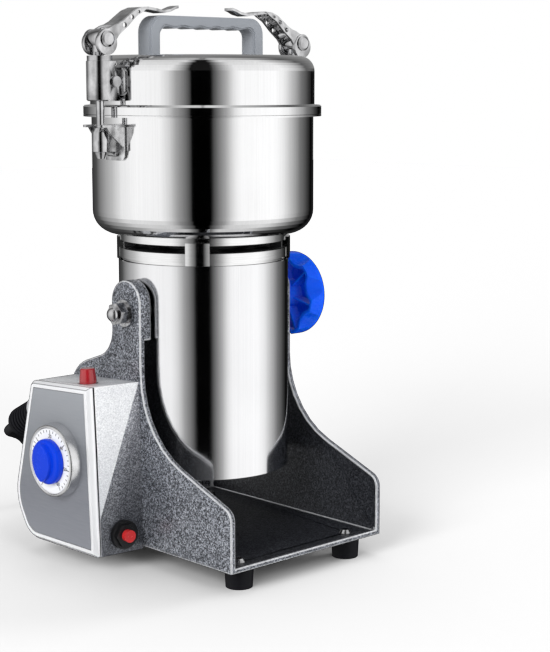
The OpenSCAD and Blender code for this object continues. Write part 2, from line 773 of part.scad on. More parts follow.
// Grooves between the knob's lobes, which run out towards its round front edge, grown by d
module knob_grooves(d) {
    groove_r = 13;
    tilt = atan(knob_groove / (knob_t - 3));
    for (k = [0 : knob_lobes - 1]) rotate([360 * (k + 0.5) / knob_lobes, 0, 0])
        translate([knob_x + knob_hub, 0, knob_r - knob_groove + groove_r]) rotate([0, 90 - tilt, 0])
            translate([0, 0, -20]) cylinder(h = 60, r = groove_r + d);
}
module lock_knob() {
    back = knob_x + knob_hub;
    edge = 3;
    wall = 2.2;
    hollow = knob_t - 5;
    color("blue") at_pivot() difference() {
        union() {
            difference() {
                translate([back, 0, 0]) rotate([0, 90, 0]) rotate_extrude() polygon(concat([[0, 0], [knob_r, 0]],
                    [for (a = [0 : 15 : 90]) [knob_r - edge + edge * cos(a), knob_t - edge + edge * sin(a)]],
                    [[knob_r - 7, knob_t], [knob_r - 9, knob_t + 1.2], [0, knob_t + 1.6]]));
                knob_grooves(0);
                // Hollow in the face that looks at the side plate
                difference() {
                    rod_x(back - 1, back + hollow, knob_r - wall);
                    knob_grooves(wall);
                }
            }
            rod_x(knob_x, back + hollow + eps, knob_boss);
            for (k = [0 : knob_lobes - 1]) rotate([360 * k / knob_lobes, 0, 0])
                translate([back + 0.8, -0.7, 0]) cube([hollow, 1.4, knob_r - wall / 2]);
        }
        rod_x(knob_x - 1, knob_x + knob_bore, pivot_r + run_gap);
    }
}

// Bowl and blades
module grinding_bowl() {
    r = bowl_r;
    w = bowl_wall;
    e = bowl_edge_r;
    color("silver") rotate_extrude() polygon(concat(
        [[shaft_r + clear_gap, bowl_z], [r - e, bowl_z]],
        [for (a = [-80 : 10 : 0]) [r - e + e * cos(a), bowl_z + e + e * sin(a)]],
        [[r, rim_z - flange_t], [rim_r, rim_z - flange_t], [rim_r, rim_z], [r - w, rim_z],
        [r - w, bowl_floor + e - w]],
        [for (a = [-10 : -10 : -90]) [r - e + (e - w) * cos(a), bowl_floor + e - w + (e - w) * sin(a)]],
        [[shaft_r + 9, bowl_floor], [shaft_r + 7, bowl_floor + 4], [shaft_r + clear_gap, bowl_floor + 4]]));
}
blade_z = bowl_floor + 9;
blade_t = 3;
blade_step = 17;
hub_blade = 8;
blade_nut_z = blade_z + blade_step + blade_t + 2;
module rotor_shaft() {
    color("silver") {
        translate([0, 0, casing_bottom + 13]) cylinder(h = blade_nut_z + 8 - casing_bottom - 13,
            r = shaft_r);
    }
}
module armature() {
    color("#7a4a2a") translate([0, 0, stator_z + 1]) difference() {
        union() {
            cylinder(h = stator_l - 2, r = armature_r);
            translate([0, 0, -4]) cylinder(h = stator_l + 6, r = armature_r - 8);
        }
        for (a = [0 : 30 : 330]) rotate(a) translate([armature_r - 4, -1.5, -1]) cube([6, 3, stator_l]);
        translate([0, 0, -far / 2]) cylinder(h = far, r = shaft_r + eps);
    }
}
module commutator() {
    color("peru") translate([0, 0, comm_z - 3]) difference() {
        cylinder(h = comm_l, r = comm_r);
        for (a = [0 : 15 : 345]) rotate(a) translate([comm_r - 1, -0.4, 2]) cube([2, 0.8, comm_l - 1]);
        translate([0, 0, -1]) cylinder(h = comm_l + 2, r = shaft_r + eps);
    }
}
module cooling_fan() {
    color("dimgray") translate([0, 0, casing_bottom + fan_rise]) difference() {
        union() {
            cylinder(h = 1.5, r = armature_r + 8);
            cylinder(h = 6.5, r = 13);
            for (a = [0 : 36 : 324]) rotate(a) translate([10, -0.8, 1]) cube([armature_r - 3, 1.6, 5]);
        }
        translate([0, 0, -1]) cylinder(h = 10, r = shaft_r + eps);
    }
}
// Flat two-armed blade with ground tips
module blade(z, turn, reach) {
    translate([0, 0, z]) rotate(turn) difference() {
        linear_extrude(blade_t) difference() {
            union() {
                circle(r = 14);
                for (s = [0, 180]) rotate(s) polygon([[0, -10], [reach - 14, -10], [reach, -3],
                    [reach - 2, 6], [reach - 16, 10], [0, 10]]);
            }
            circle(r = shaft_r + eps);
        }
        // Ground cutting edges
        for (s = [0, 180]) rotate(s) translate([16, -10, blade_t]) rotate([-32, 0, 0])
            translate([0, -6, 0]) cube([reach, 6, 6]);
    }
}
module lower_blade() {
    color("silver") blade(blade_z, 20, blade_r);
}
module upper_blade() {
    color("silver") blade(blade_z + blade_step, 110, blade_r - 6);
}
module blade_spacers() {
    color("silver") {
        translate([0, 0, blade_z - 4.4]) tube(hub_blade + 2, shaft_r + eps, 4.4);
        translate([0, 0, blade_z + blade_t]) tube(hub_blade + 2, shaft_r + eps, blade_step - blade_t);
        translate([0, 0, blade_z + blade_step + blade_t]) tube(hub_blade + 3, shaft_r + eps, 2);
    }
}
module blade_nut() {
    color("silver") translate([0, 0, blade_nut_z]) difference() {
        union() {
            cylinder(h = 8, r = 10.5, $fn = 6);
            cylinder(h = 11, r = 8);
            translate([0, 0, 11 - eps]) cylinder(h = 1, r1 = 8, r2 = 7);
        }
        translate([0, 0, -1]) cylinder(h = 9.2, r = shaft_r + eps);
    }
}

// Lid, gasket and handle
skirt_r = bowl_r - bowl_wall - 1.6;
module lid_shell() {
    r = lid_r;
    w = lid_wall;
    e = lid_edge_r;
    lip = 1.5;
    color("silver") difference() {
        rotate_extrude() polygon(concat(
            [[skirt_r - w, band_z - 7], [skirt_r, band_z - 7], [skirt_r, band_top - lip],
            [rim_r - lip, band_top - lip], [rim_r - lip, band_z], [rim_r, band_z],
            [rim_r, band_top - 0.8], [rim_r - 0.8, band_top], [r + 0.6, band_top], [r, band_top + 0.6]],
            [for (a = [0 : 10 : 90]) [r - e + e * cos(a), lid_top - e + e * sin(a)]],
            [[0, lid_top], [0, lid_top - w]],
            [for (a = [90 : -10 : 0]) [r - e + (e - w) * cos(a), lid_top - e + (e - w) * sin(a)]],
            [[r - w, band_top], [skirt_r - w, band_top - lip]]));
        handle_places() translate([0, 0, lid_top - 5]) cylinder(h = 10, r = 2.1);
    }
}
module lid_gasket() {
    color("white") translate([0, 0, band_z]) tube(rim_r - 1.6, skirt_r + 0.1, band_h - 1.6);
}
module handle_places() {
    for (x = [-1, 1]) translate([x * (handle_l / 2 - handle_leg / 2), 0, 0]) children();
}
handle_corner = 10.5;
bump_n = 5;
bump_h = 1.1;
// Closed outline of the bow: outer edge, then the inner edge with finger bumps
function handle_outline(d) = let (a = handle_l / 2 - d, t = handle_h - d, rr = handle_corner - d,
    b = handle_l / 2 - handle_leg + d, u = handle_h - handle_bar + d, q = 6)
    concat([[a, 0]],
        [for (k = [0 : 10 : 90]) [a - rr + rr * cos(k), t - rr + rr * sin(k)]],
        [for (k = [90 : 10 : 180]) [-a + rr + rr * cos(k), t - rr + rr * sin(k)]],
        [[-a, 0], [-b, 0]],
        [for (k = [180 : -15 : 90]) [-b + q + q * cos(k), u - q + q * sin(k)]],
        [for (k = [1 : 47]) let (x = (-b + q) + 2 * (b - q) * k / 48)
            [x, u - bump_h / 2 * (1 - cos(bump_n * 360 * k / 48))]],
        [for (k = [90 : -15 : 0]) [b - q + q * cos(k), u - q + q * sin(k)]],
        [[b, 0]]);
module handle() {
    edge = 1.4;
    color("gray") translate([0, 0, lid_top]) difference() {
        union() {
            along_y(handle_t - 2 * edge) polygon(handle_outline(0));
            along_y(handle_t - edge) polygon(handle_outline(edge * 0.3));
            along_y(handle_t) polygon(handle_outline(edge));
        }
        handle_places() translate([0, 0, -1]) cylinder(h = 11, r = 2);
    }
}
module handle_screws() {
    color("silver") handle_places() translate([0, 0, lid_top - lid_wall]) {
        cylinder(h = 9, r = 1.98);
        translate([0, 0, -2.4]) difference() {
            cylinder(h = 2.4, r1 = 3, r2 = 4.2);
            for (a = [0, 90]) rotate(a) translate([-2, -0.4, -1]) cube([4, 0.8, 2]);
        }
    }
}

// Latches, drawn for the side at +X
module at_hinge() {
    translate([hinge_x, 0, hinge_z]) children();
}
module at_lever() {
    translate([rod_x, 0, lever_z]) children();
}
module lug() {
    difference() {
        union() {
            // Pad that follows the lid's wall, with cut corners
            intersection() {
                difference() {
                    cylinder(h = far, r = lid_r + lug_t);
                    cylinder(h = far, r = lid_r);
                }
                translate([0, 0, hinge_z]) along_x(0, far) polygon([for (q = [[1, 1], [-1, 1], [-1, -1],
                    [1, -1]], c = q.x * q.y > 0 ? [[0, 2.5], [2.5, 0]] : [[2.5, 0], [0, 2.5]])
                    [q.x * (lug_half - c.x), q.y * (pad_half_h - c.y)]]);
            }
            difference() {
                union() {
                    translate([lid_r, -tongue_half, hinge_z - hinge_boss])
                        cube([hinge_x - lid_r, 2 * tongue_half, 2 * hinge_boss]);
                    at_hinge() rod_y(-tongue_half, tongue_half, hinge_boss);
                }
                cylinder(h = far, r = lid_r);
            }
        }
        at_hinge() rod_y(-20, 20, hinge_r + eps);
    }
}
module latch_lugs() {
    color("silver") both_sides() lug();
}
module latch_hinge_screws() {
    color("silver") both_sides() at_hinge() {
        rod_y(-sleeve_r - 0.4, sleeve_r + 0.4, hinge_r);
        rod_y(-sleeve_r - 1.6, -sleeve_r - 0.3, 3.3);
        rod_y(sleeve_r + 0.3, sleeve_r + 1.6, 3);
    }
}
// Space that the lid and its pad need behind a sleeve, in the hinge's frame
module lid_space() {
    wall = lid_r + clear_gap - hinge_x;
    translate([wall + lug_t - 60, -20, -pad_half_h - 0.5]) cube([60, 40, 2 * pad_half_h + 1]);
    translate([wall, -20, pad_half_h + 0.5]) rotate([0, -28, 0]) translate([-60, 0, 0])
        cube([60, 40, 60]);
}
module sleeve() {
    slot_x = hinge_x + hinge_boss + clear_gap;
    slot_h = 2 * hinge_boss + 9;
    difference() {
        union() {
            translate([rod_x, 0, sleeve_z]) {
                translate([0, 0, 0.8]) cylinder(h = sleeve_l - 0.8, r = sleeve_r);
                cylinder(h = 0.8 + eps, r1 = sleeve_r - 0.8, r2 = sleeve_r);
                translate([0, 0, sleeve_l - eps]) cylinder(h = collar_h, r = sleeve_r - 0.5);
            }
            translate([lid_r + lug_t + clear_gap, -sleeve_r, sleeve_z])
                cube([rod_x - lid_r - lug_t - clear_gap, 2 * sleeve_r, sleeve_l]);
        }
        translate([rod_x, 0, 0]) cylinder(h = far, r = rod_r + run_gap);
        translate([0, -tongue_half - clear_gap, hinge_z - slot_h / 2])
            cube([slot_x, 2 * (tongue_half + clear_gap), slot_h]);
        at_hinge() rod_y(-20, 20, hinge_r + run_gap);
        // The inner face leans away above the hinge, so that the latch can swing out
        for (a = [swing_max / 2, swing_max]) at_hinge() rotate([0, a, 0]) lid_space();
    }
}
module rod() {
    translate([rod_x, 0, 0]) {
        translate([0, 0, foot_top - foot_len - tip_len])
            cylinder(h = lever_z - foot_top + foot_len + tip_len - 4, r = rod_r);
        // Round foot that the fork holds, with its locking tip
        translate([0, 0, foot_top - foot_len]) cylinder(h = foot_len - 3, r = latch_foot_r);
        translate([0, 0, foot_top - 3 - eps]) cylinder(h = 3, r1 = latch_foot_r, r2 = latch_foot_r - 1.4);
        translate([0, 0, foot_top - foot_len - tip_len]) cylinder(h = tip_len + eps, r1 = 2.8, r2 = 4.4);
    }
    // Eye that the lever's pin passes through
    at_lever() difference() {
        union() {
            rod_y(-eye_half, eye_half, 6);
            translate([0, 0, -cam_r - cam_offset + lever_drop + 0.2]) cylinder(h = 6, r = eye_half - 0.6);
        }
        rod_y(-20, 20, pin_r + eps);
    }
}
module lever_pin() {
    at_lever() {
        rod_y(-ear_out - 0.3, ear_out + 0.3, pin_r);
        for (s = [-1, 1]) scale([1, s, 1]) {
            rod_y(ear_out + 0.3 - eps, ear_out + 0.9, 5);
            translate([0, ear_out + 0.9 - eps, 0]) rotate([-90, 0, 0]) cylinder(h = 0.8, r1 = 5, r2 = 3.6);
        }
    }
}
// Top line of the lever, from its pin towards the middle: [distance, height over the pin]
k_reach = lever_reach / 61;
LEVER = [[5.5, 8.4], [9, 9.4], [13, 11.4], [18, 15], [23, 18.4], [28, 20.2], [34, 20.6],
    [41, 19.8], [48, 18.8], [54, 19.8], [58.5, 21.6], [61, 22.2]];
function lever_line(n, drop) = [for (i = [0 : n]) [-LEVER[i].x * k_reach, LEVER[i].y - drop]];
function back(p) = [for (i = [len(p) - 1 : -1 : 0]) p[i]];
module lever() {
    last = len(LEVER) - 1;
    web_t = 1.7;
    at_lever() {
        difference() {
            union() {
                // Pressed top strip
                along_y(2 * ear_in + 2) polygon(concat(lever_line(7, 0), back(lever_line(7, web_t))));
                intersection() {
                    along_y(2 * ear_in + 2)
                        polygon(concat(lever_line(last, 0), back(lever_line(last, web_t))));
                    translate([-lever_reach, 0, 0]) linear_extrude(40) polygon([[-2, -4], [8, -4.8],
                        [22, -ear_in - 1], [32, -ear_in - 1], [32, ear_in + 1], [22, ear_in + 1],
                        [8, 4.8], [-2, 4]]);
                }
                for (s = [0, 1]) mirror([0, s, 0]) {
                    translate([0, 0, -cam_offset]) rod_y(ear_in, ear_out, cam_r);
                    // Side flange from the cam disc up along the strip
                    translate([0, ear_in + 1.9, 0]) rotate([90, 0, 0]) linear_extrude(1.9) polygon(
                        concat(lever_line(6, 0.2), [[-30 * k_reach, 17.6], [-24 * k_reach, 14.4],
                        [-17 * k_reach, 8], [-10, 2.6], [-5, -4], [0, -2], [3, 4]]));
                    rod_y(ear_in, ear_out, 6.2);
                }
            }
            rod_y(-20, 20, pin_r + run_gap);
            // Cut-outs in the side flanges
            for (p = [[14.5, 8.8, 1.6], [20.5, 13.8, 1.5], [26, 17.2, 1]])
                translate([-p.x * k_reach, 0, p.y]) rod_y(-20, 20, p.z);
        }
    }
}
module catch_part() {
    slot_half = latch_foot_r + 0.4;
    difference() {
        union() {
            // Pad on the bowl's wall
            intersection() {
                difference() {
                    cylinder(h = far, r = bowl_r + fork_t);
                    cylinder(h = far, r = bowl_r);
                }
                along_x(0, far) polygon(outline([[-fork_half, fork_z - 21, 3], [fork_half, fork_z - 21, 3],
                    [fork_half, fork_z + fork_t, 2.4], [-fork_half, fork_z + fork_t, 2.4]]));
            }
            // Fork, open to the outside
            difference() {
                translate([0, 0, fork_z]) linear_extrude(fork_t) polygon(outline([[0, -fork_half, 0],
                    [fork_x, -fork_half, 3], [fork_x, fork_half, 3], [0, fork_half, 0]]));
                cylinder(h = far, r = bowl_r);
            }
            // Two webs under the fork
            difference() {
                for (y = [-fork_half + 0.2, fork_half - 1.6]) translate([0, y + 1.4, 0]) rotate([90, 0, 0])
                    linear_extrude(1.4) polygon([[0, fork_z - 12], [bowl_r + 2, fork_z - 12],
                        [rod_x, fork_z - 4], [fork_x - 5, fork_z + eps], [0, fork_z + eps]]);
                cylinder(h = far, r = bowl_r);
            }
            // Rolled lower end of the pad
            translate([bowl_r + fork_t + 0.6, 0, fork_z - 17]) rod_y(-4, 4, 1.5);
        }
        translate([rod_x, -slot_half, 0]) cube([40, 2 * slot_half, far]);
        translate([rod_x, 0, 0]) cylinder(h = far, r = slot_half);
    }
}
module latch_catches() {
    color("silver") both_sides() catch_part();
}
module latch_sleeve_left() {
    color("silver") mirror([1, 0, 0]) sleeve();
}
module latch_sleeve_right() {
    color("silver") sleeve();
}
module latch_rod_left() {
    color("silver") mirror([1, 0, 0]) rod();
}
module latch_rod_right() {
    color("silver") rod();
}
module latch_lever_left() {
    color("silver") mirror([1, 0, 0]) lever();
}
module latch_lever_right() {
    color("silver") lever();
}
module lever_pin_left() {
    color("silver") mirror([1, 0, 0]) lever_pin();
}
module lever_pin_right() {
    color("silver") lever_pin();
}

cradle();
feet();
foot_screws();
box_housing();
box_cover();
control_panel();
breaker_plate();
box_screws();
dial_bezel();
dial_face();
timer_case();
breaker_body();
breaker_collar();
switch_body();
strain_relief();
cord();
cord_coil();
plug();
plug_pins();
timer_knob();
reset_button();
power_button();
motor_casing();
bottom_cover();
stator();
brush_gear();
bearings();
neck_frame();
grinding_bowl();
pivot_bosses();
pivot_bolt();
pivot_washers();
pivot_nut();
pivot_cap_nut();
lock_stud();
lock_knob();
latch_catches();
rotor_shaft();
armature();
commutator();
cooling_fan();
lower_blade();
upper_blade();
blade_spacers();
blade_nut();
lid_shell();
lid_gasket();
handle();
handle_screws();
latch_lugs();
latch_hinge_screws();
latch_sleeve_left();
latch_sleeve_right();
latch_rod_left();
latch_rod_right();
latch_lever_left();
latch_lever_right();
lever_pin_left();
lever_pin_right();
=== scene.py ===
"""Electric swing grinder: looks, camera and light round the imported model. Metres throughout."""
import json
import math

import bpy
from mathutils import Matrix, Vector

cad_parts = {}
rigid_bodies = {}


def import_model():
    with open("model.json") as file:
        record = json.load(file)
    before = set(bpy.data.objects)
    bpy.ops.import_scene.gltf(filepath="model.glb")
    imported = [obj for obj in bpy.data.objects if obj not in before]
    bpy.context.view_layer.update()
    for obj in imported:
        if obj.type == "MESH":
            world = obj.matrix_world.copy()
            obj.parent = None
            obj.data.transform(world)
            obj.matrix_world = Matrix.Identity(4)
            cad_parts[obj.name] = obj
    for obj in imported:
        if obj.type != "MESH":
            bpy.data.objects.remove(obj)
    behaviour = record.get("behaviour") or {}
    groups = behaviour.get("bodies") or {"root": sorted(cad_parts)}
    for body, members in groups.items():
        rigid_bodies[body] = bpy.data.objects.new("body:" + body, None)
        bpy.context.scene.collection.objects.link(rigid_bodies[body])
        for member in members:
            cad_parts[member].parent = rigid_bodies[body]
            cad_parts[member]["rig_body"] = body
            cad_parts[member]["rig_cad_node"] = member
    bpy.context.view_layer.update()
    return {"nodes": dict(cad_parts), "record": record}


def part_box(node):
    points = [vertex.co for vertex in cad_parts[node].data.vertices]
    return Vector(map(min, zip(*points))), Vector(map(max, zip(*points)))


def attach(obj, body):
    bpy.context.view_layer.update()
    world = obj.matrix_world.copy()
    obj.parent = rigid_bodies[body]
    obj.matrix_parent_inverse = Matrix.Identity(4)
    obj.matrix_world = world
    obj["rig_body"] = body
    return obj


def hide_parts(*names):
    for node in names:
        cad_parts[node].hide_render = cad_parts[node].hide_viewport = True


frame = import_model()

scene = bpy.context.scene
scene.view_settings.view_transform = "Standard"
nodes = frame["nodes"]
body_of = {n: b for b, members in frame["record"]["behaviour"]["bodies"].items() for n in members}
MM = 0.001

# ---------------------------------------------------------------- camera
# Fitted to the outlines of casing, bowl, lid and tray, with the printed sizes as its scale
CAMERA_AT = Vector((-0.6972, -0.8036, 0.3122))
LOOKING = Vector((0.680748, 0.716911, -0.150401))
SENSOR = 36                         # millimetres along the picture's longer side
FOCAL_PIXELS, LONG_SIDE = 1595.235, 652

camera = bpy.data.objects.new("camera", bpy.data.cameras.new("camera"))
scene.collection.objects.link(camera)
camera.location = CAMERA_AT
camera.rotation_mode = "QUATERNION"
camera.rotation_quaternion = LOOKING.to_track_quat("-Z", "Y")
camera.data.lens = SENSOR * FOCAL_PIXELS / LONG_SIDE
camera.data.sensor_width = SENSOR
camera.data.clip_start = 0.05
camera.data.clip_end = 30
scene.camera = camera


# ---------------------------------------------------------------- small tools for meshes
CREASE = 35                         # degrees
MERGE = 0.00001                     # points of a CAD node's loose triangles closer than this are one
FLAT = math.radians(0.4)            # faces that differ by less are made one flat face


def pick(*pieces):
    """Deselects everything, then selects these pieces and makes the first one active."""
    bpy.ops.object.select_all(action="DESELECT")
    for piece in pieces:
        piece.select_set(True)
    bpy.context.view_layer.objects.active = pieces[0]


def settle(piece):
    """Puts the piece's place into its mesh, so that the object sits at the origin."""
    pick(piece)
    bpy.ops.object.transform_apply(location=True, rotation=True, scale=True)


def smooth(piece):
    """Smooth shading, with a crease where faces meet at more than CREASE degrees."""
    pick(piece)
    bpy.ops.object.shade_smooth_by_angle(angle=math.radians(CREASE))


def soften(piece, width, segments, angle, edge, clamp):
    """Rounds the edges that are sharper than angle. edge is the material slot of the new faces."""
    pick(piece)
    bevel = piece.modifiers.new("soft edges", "BEVEL")
    bevel.material = edge
    bevel.width = width
    bevel.segments = segments
    bevel.limit_method = "ANGLE"
    bevel.angle_limit = math.radians(angle)
    bevel.use_clamp_overlap = clamp
    bpy.ops.object.modifier_apply(modifier=bevel.name)


def named(piece, name, material, body, replaces=()):
    """Gives a finished piece its name, finish, body and the CAD nodes that it stands for."""
    piece.name = name
    piece.data.name = name
    piece.data.materials.clear()
    for finish in material if isinstance(material, tuple) else (material,):
        piece.data.materials.append(finish)
    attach(piece, body)
    if replaces:
        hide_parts(*replaces)
    return piece


def rounded_copy(node, material, width, segments=2, angle=30):
    """A copy of a CAD node, merged and with its sharp edges rounded, which stands for the node. With two
    materials the second one is for the rounded edges, which then keep their full width."""
    piece = nodes[node].copy()
    piece.data = nodes[node].data.copy()
    piece.parent = None
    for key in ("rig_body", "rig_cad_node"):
        del piece[key]
    scene.collection.objects.link(piece)
    pick(piece)
    bpy.ops.object.mode_set(mode="EDIT")
    bpy.ops.mesh.select_all(action="SELECT")
    bpy.ops.mesh.remove_doubles(threshold=MERGE)
    bpy.ops.mesh.dissolve_limited(angle_limit=FLAT)
    bpy.ops.mesh.vert_connect_concave()
    bpy.ops.object.mode_set(mode="OBJECT")
    bpy.ops.mesh.customdata_custom_splitnormals_clear()
    both = isinstance(material, tuple)
    if both:
        piece.data.materials.clear()
        for finish in material:
            piece.data.materials.append(finish)
    soften(piece, width, segments, angle, int(both), not both)
    smooth(piece)
    kept = [p.material_index for p in piece.data.polygons]
    named(piece, node + "_finished", material, body_of[node], (node,))
    piece.data.polygons.foreach_set("material_index", kept)
    return piece


# ---------------------------------------------------------------- small tools for materials
class Graph:
    """The node tree of a material or of the world, and ways to add to it."""

    def __init__(self, owner):
        owner.use_nodes = True
        self.tree = owner.node_tree

    def node(self, kind, **settings):
        made = self.tree.nodes.new("ShaderNode" + kind)
        for key, value in settings.items():
            setattr(made, key, value)
        return made

    def wire(self, source, target):
        self.tree.links.new(source, target)

    def ramp(self, fac, *stops):
        """Stops are (place, colour or grey level)."""
        made = self.node("ValToRGB")
        self.wire(fac, made.inputs["Fac"])
        elements = made.color_ramp.elements
        while len(elements) < len(stops):
            elements.new(0.5)
        for element, (place, value) in zip(elements, stops):
            element.position = place
            element.color = (*value, 1) if isinstance(value, tuple) else (value, value, value, 1)
        return made.outputs["Color"]

    def mix(self, fac, a, b, blend="MIX"):
        """Blends a into b. Each is an output, a colour or a grey level."""
        made = self.node("Mix", data_type="RGBA", blend_type=blend)
        for socket, value in ((made.inputs["Factor"], fac), (made.inputs[6], a), (made.inputs[7], b)):
            if isinstance(value, (int, float)):
                socket.default_value = value if socket.type == "VALUE" else (value, value, value, 1)
            elif isinstance(value, tuple):
                socket.default_value = (*value, 1)
            else:
                self.wire(value, socket)
        return made.outputs[2]

    def math(self, operation, a, b=0.0):
        """One step of arithmetic on an output. a and b are outputs or numbers."""
        made = self.node("Math", operation=operation)
        for socket, value in zip(made.inputs, (a, b)):
            if isinstance(value, (int, float)):
                socket.default_value = value
            else:
                self.wire(value, socket)
        return made.outputs["Value"]


class Finish(Graph):
    """A material made of nodes. Patterns read Object coordinates, in metres."""

    def __init__(self, name, **constants):
        self.material = bpy.data.materials.new(name)
        super().__init__(self.material)
        self.shader = self.tree.nodes["Principled BSDF"]
        self.coords = self.node("TexCoord").outputs["Object"]
        for socket, value in constants.items():
            self.shader.inputs[socket.replace("_", " ")].default_value = value

    def place(self, scale):
        """Coordinates stretched by scale, for streaks."""
        mapping = self.node("Mapping")
        self.wire(self.coords, mapping.inputs["Vector"])
        mapping.inputs["Scale"].default_value = scale
        return mapping.outputs["Vector"]

    def noise(self, scale, detail=2.0, roughness=0.5, at=None, distortion=0.0):
        """Cloudy noise, with scale in cycles per metre."""
        made = self.node("TexNoise")
        made.inputs["Scale"].default_value = scale
        made.inputs["Detail"].default_value = detail
        made.inputs["Roughness"].default_value = roughness
        made.inputs["Distortion"].default_value = distortion
        self.wire(at or self.coords, made.inputs["Vector"])
        return made.outputs["Fac"]

    def cells(self, scale):
        """Dimples: distance to the nearest of scattered points."""
        made = self.node("TexVoronoi")
        made.inputs["Scale"].default_value = scale
        self.wire(self.coords, made.inputs["Vector"])
        return made.outputs["Distance"]

    def axis(self, name):
        """One of the object's own coordinates, in metres."""
        split = self.node("SeparateXYZ")
        self.wire(self.coords, split.inputs["Vector"])
        return split.outputs[name]

    def colour(self, output):
        self.wire(output, self.shader.inputs["Base Color"])

    def roughness(self, output):
        self.wire(output, self.shader.inputs["Roughness"])

    def bump(self, *layers):
        """Layers are (height, depth in metres), laid on one another."""
        below = None
        for height, depth in layers:
            made = self.node("Bump")
            made.inputs["Strength"].default_value = 1.0
            made.inputs["Distance"].default_value = depth
            self.wire(height, made.inputs["Height"])
            if below is not None:
                self.wire(below, made.inputs["Normal"])
            below = made.outputs["Normal"]
        self.wire(below, self.shader.inputs["Normal"])


def steel(name, colour, rough, streak=(900, 900, 14), smudge=22, grain=0.0000015, dull=0.94):
    """Polished steel: fine streaks along the sheet and faint smudges, which are dull times the colour. streak
    and smudge are cycles per metre, grain is the streaks' depth."""
    f = Finish(name, Metallic=1.0)
    lines = f.noise(1.0, 3, 0.6, at=f.place(scale=streak))
    clouds = f.noise(smudge, 4, 0.55)
    f.colour(f.ramp(f.mix(0.5, lines, clouds), (0.38, tuple(c * dull for c in colour)), (0.62, colour)))
    f.roughness(f.ramp(f.mix(0.5, clouds, lines), (0.35, rough[0]), (0.65, rough[1])))
    f.bump((lines, grain))
    return f.material


def hammered(name, dark, middle, light, rough=(0.28, 0.5), metallic=0.45, size=1.0, painted_shade=None):
    """Hammered enamel: pale flecks crawl between dark dimples. size stretches the pattern. painted_shade is
    (axis, from, to, low, high): the colour is multiplied by low at from and by high at to, painted shade and
    light that change the coat along one axis."""
    f = Finish(name, Metallic=metallic, Coat_Weight=0.3, Coat_Roughness=0.25)
    worms = f.noise(980 / size, 2.5, 0.62, distortion=0.9)
    dimples = f.cells(560 / size)
    patches = f.noise(70 / size, 3, 0.5)
    tone = f.ramp(worms, (0.40, dark), (0.5, middle), (0.60, light))
    tone = f.mix(f.ramp(patches, (0.35, 0.0), (0.7, 0.2)), tone, middle)
    # Painted shade: the colour is darkened or lightened along one axis, not by any lamp
    if painted_shade:
        axis, start, end, low, high = painted_shade
        along = f.math("DIVIDE", f.math("SUBTRACT", f.axis(axis), start), end - start)
        tone = f.mix(1.0, tone, f.ramp(along, (0.0, low), (1.0, high)), "MULTIPLY")
    f.colour(tone)
    f.roughness(f.ramp(worms, (0.35, rough[1]), (0.65, rough[0])))
    f.bump((dimples, 0.00010 * size), (worms, 0.00008 * size))
    return f.material


def enamel(name, colour, rough, metallic=0.0):
    """Smooth gloss paint with a faint orange peel."""
    f = Finish(name, Metallic=metallic, Coat_Weight=0.5, Coat_Roughness=0.08)
    clouds = f.noise(18, 3, 0.5)
    skin = f.noise(420, 2, 0.5)
    f.colour(f.ramp(clouds, (0.3, tuple(c * 0.93 for c in colour)), (0.7, colour)))
    f.roughness(f.ramp(clouds, (0.3, rough[0]), (0.7, rough[1])))
    f.bump((skin, 0.00001))
    return f.material


def moulded(name, colour, rough=(0.3, 0.45), coat=0.0, grain=0.00002, scale=1600, vary=0.88, glow=0.0,
        gloss=0.5):
    """Moulded plastic or rubber with a fine grain and slight wear in its gloss. vary times the colour is its
    darkest shade, and glow is how much light goes through it."""
    f = Finish(name, Coat_Weight=coat, Coat_Roughness=0.12, Subsurface_Weight=glow, Subsurface_Scale=0.02,
        Specular_IOR_Level=gloss)
    clouds = f.noise(30, 4, 0.55)
    skin = f.noise(scale, 2, 0.5)
    f.colour(f.ramp(clouds, (0.3, tuple(c * vary for c in colour)), (0.7, colour)))
    f.roughness(f.ramp(f.mix(0.5, clouds, skin), (0.35, rough[0]), (0.65, rough[1])))
    f.bump((skin, grain))
    return f.material


# ---------------------------------------------------------------- finishes
polished = steel("polished_steel", (0.87, 0.87, 0.875), (0.045, 0.09))
casing_steel = steel("casing_steel", (0.84, 0.84, 0.85), (0.07, 0.13), (1400, 1400, 6), grain=0.000002)
chrome = steel("latch_chrome", (0.72, 0.72, 0.73), (0.06, 0.13), (160, 160, 60), 110, 0.000002, 0.5)
plate_chrome = steel("plate_chrome", (0.84, 0.84, 0.85), (0.22, 0.32), (160, 160, 60), 110, 0.000002, 0.3)
bolt = steel("bolt_steel", (0.66, 0.66, 0.67), (0.12, 0.22), (500, 500, 200), 150, 0.000003, 0.4)
dark_paint = hammered("hammered_grey", (0.010, 0.011, 0.015), (0.085, 0.092, 0.108), (0.44, 0.46, 0.51))
# Painted shade: a much darker copy of the hammered grey for the cradle's inner faces, tray floor and undersides
shaded_inner_paint = hammered("hammered_grey_inner_painted_shade", (0.005, 0.005, 0.007), (0.017, 0.0185, 0.024),
    (0.075, 0.08, 0.092), (0.3, 0.5), 0.3)
# Painted highlight: a pale copy of the hammered grey for the cradle's rounded edges
edge_highlight = hammered("hammered_grey_edge_highlight", (0.42, 0.43, 0.45), (0.62, 0.63, 0.65), (0.85, 0.86, 0.88),
    (0.2, 0.35), 0.5)
# Silver coat with painted shade: it is darker towards the bottom of the box
silver_paint = hammered("hammered_silver", (0.60, 0.61, 0.63), (0.76, 0.77, 0.79), (0.92, 0.93, 0.94),
    (0.3, 0.42), 0.35, 0.7, ("Z", 0.03, 0.09, (0.72, 0.73, 0.75), (1.0, 1.0, 1.0)))
